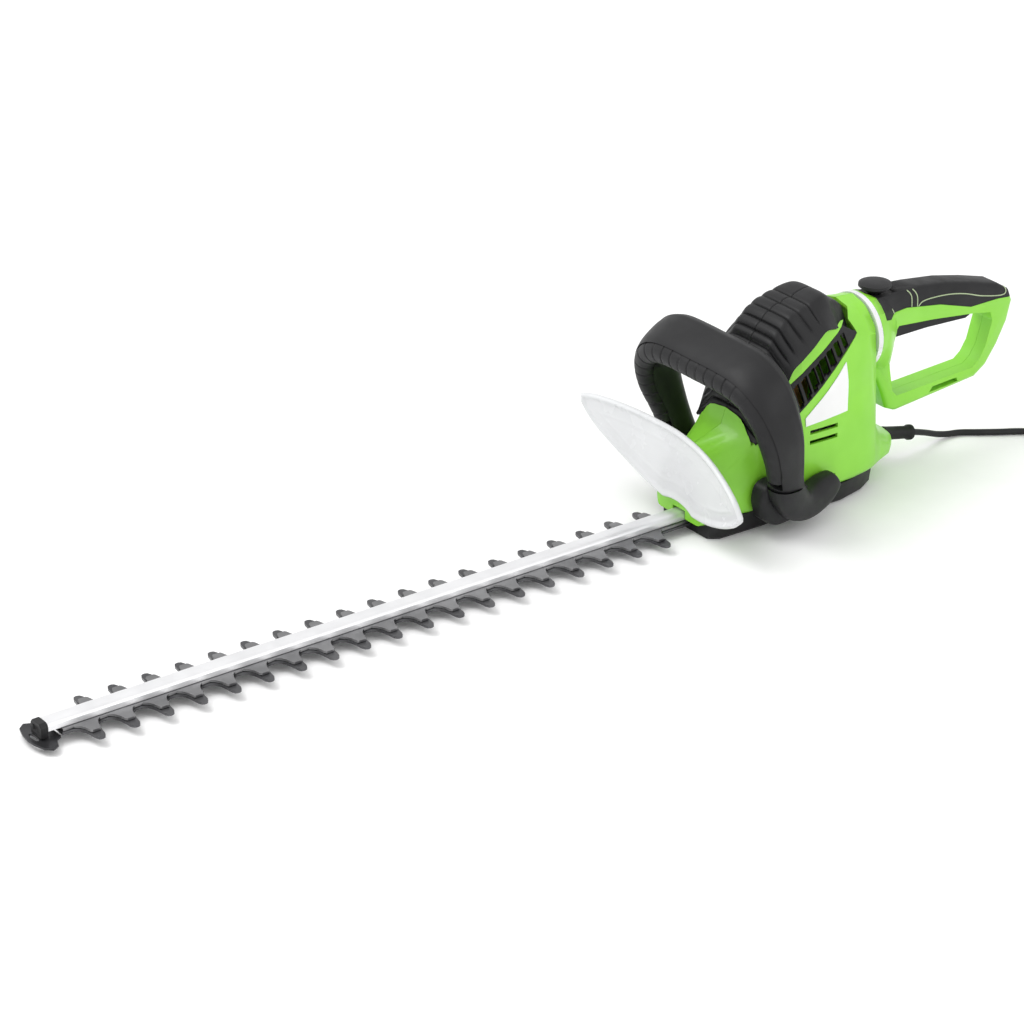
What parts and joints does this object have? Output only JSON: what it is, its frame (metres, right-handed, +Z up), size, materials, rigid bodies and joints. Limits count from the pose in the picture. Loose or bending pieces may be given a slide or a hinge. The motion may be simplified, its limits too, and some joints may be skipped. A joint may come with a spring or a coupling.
{
  "type": "hedge trimmer",
  "caption": "Corded electric hedge trimmer with a long double-sided cutter bar, leaf guard, bail front handle and a turning rear D-handle.",
  "frame": {"origin": "middle of the footprint of the tool without its cord, at the underside of the gearbox cover", "axes": "+Y runs from the blade tip to the rear handle, +Z is up, +X is the side with the rating label"},
  "size_m": [0.297, 1.1045, 0.202],
  "materials": {
    "green_plastic": "satin lime green",
    "black_plastic": "satin black, fine grain",
    "soft_rubber": "matt black soft grip",
    "guard_plastic": "milky translucent",
    "rail_aluminium": "satin extruded",
    "blade_steel": "ground cutter steel",
    "plate_steel": "dark phosphated steel",
    "copper": "copper winding",
    "brass": "plain brass",
    "silver_print": "silver print",
    "label_vinyl": "blank white vinyl",
    "zinc_screw": "zinc plated"
  },
  "bodies": {
    "housing": {"housing_left": "green_plastic", "housing_right": "green_plastic", "motor_hood_left": "black_plastic", "motor_hood_right": "black_plastic", "vent_left": "black_plastic", "vent_right": "black_plastic", "rating_label": "label_vinyl", "gearbox_cover": "black_plastic", "guide_rail": "rail_aluminium", "guide_bolt_1": "zinc_screw", "guide_bolt_2": "zinc_screw", "guide_bolt_3": "zinc_screw", "guide_bolt_4": "zinc_screw", "rail_cap": "black_plastic", "tip_plate": "plate_steel", "gearbox_plate": "plate_steel", "stator": "copper", "bearing_lower": "zinc_screw", "bearing_upper": "zinc_screw", "brush_holder_left": "brass", "brush_holder_right": "brass", "capacitor": "silver_print", "cord_clamp": "black_plastic", "hand_guard": "guard_plastic", "front_handle": "black_plastic", "handle_foot_left": "black_plastic", "handle_foot_right": "black_plastic", "foot_screw_left_1": "zinc_screw", "foot_screw_left_2": "zinc_screw", "foot_screw_right_1": "zinc_screw", "foot_screw_right_2": "zinc_screw", "scale_ring": "silver_print", "front_switch": "black_plastic", "strain_relief": "soft_rubber", "power_cord": "soft_rubber", "plug": "black_plastic"},
    "upper_blade": {"upper_blade": "blade_steel"},
    "lower_blade": {"lower_blade": "blade_steel"},
    "motor_rotor": {"rotor": "blade_steel", "cooling_fan": "black_plastic", "pinion": "plate_steel"},
    "drive_gear": {"drive_gear": "plate_steel"},
    "rear_handle": {"rear_handle_left": "green_plastic", "rear_handle_right": "green_plastic", "rear_grip": "soft_rubber", "rear_switch": "black_plastic"},
    "lock_knob": {"lock_knob": "black_plastic"},
    "trigger": {"trigger": "black_plastic"},
    "switch_bar": {"switch_bar": "soft_rubber"}
  },
  "joints": [
    {"name": "upper_blade_slide", "type": "slide", "parent": "housing", "child": "upper_blade", "axis": [0, 1, 0], "range_m": [-0.008, 0.008]},
    {"name": "lower_blade_slide", "type": "slide", "parent": "housing", "child": "lower_blade", "axis": [0, 1, 0], "range_m": [-0.008, 0.008]},
    {"name": "drive_gear_spin", "type": "hinge", "parent": "housing", "child": "drive_gear", "pos_m": [0, 0.212, 0.014], "axis": [0, 0, 1], "continuous": true},
    {"name": "motor_spin", "type": "hinge", "parent": "housing", "child": "motor_rotor", "pos_m": [0, 0.24825, 0.1], "axis": [0, 0, 1], "continuous": true},
    {"name": "rear_handle_turn", "type": "hinge", "parent": "housing", "child": "rear_handle", "pos_m": [0, 0.341, 0.144], "axis": [0, 1, 0], "range_deg": [-90, 90]},
    {"name": "lock_knob_press", "type": "slide", "parent": "rear_handle", "child": "lock_knob", "axis": [0, 0, -1], "range_m": [0, 0.0025], "stiffness_N_per_m": 900, "springref_m": -0.001},
    {"name": "trigger_pull", "type": "hinge", "parent": "rear_handle", "child": "trigger", "pos_m": [0, 0.4685, 0.1315], "axis": [-1, 0, 0], "range_deg": [0, 3], "stiffness_Nm_per_rad": 4, "springref_deg": -1.72},
    {"name": "switch_bar_squeeze", "type": "slide", "parent": "housing", "child": "switch_bar", "axis": [0, 1, 0], "range_m": [0, 0.002], "stiffness_N_per_m": 1500, "springref_m": -0.001}
  ],
  "couplings": [
    {"joint": "lower_blade_slide", "follows": "upper_blade_slide", "ratio": -1},
    {"joint": "motor_spin", "follows": "drive_gear_spin", "ratio": -4}
  ]
}
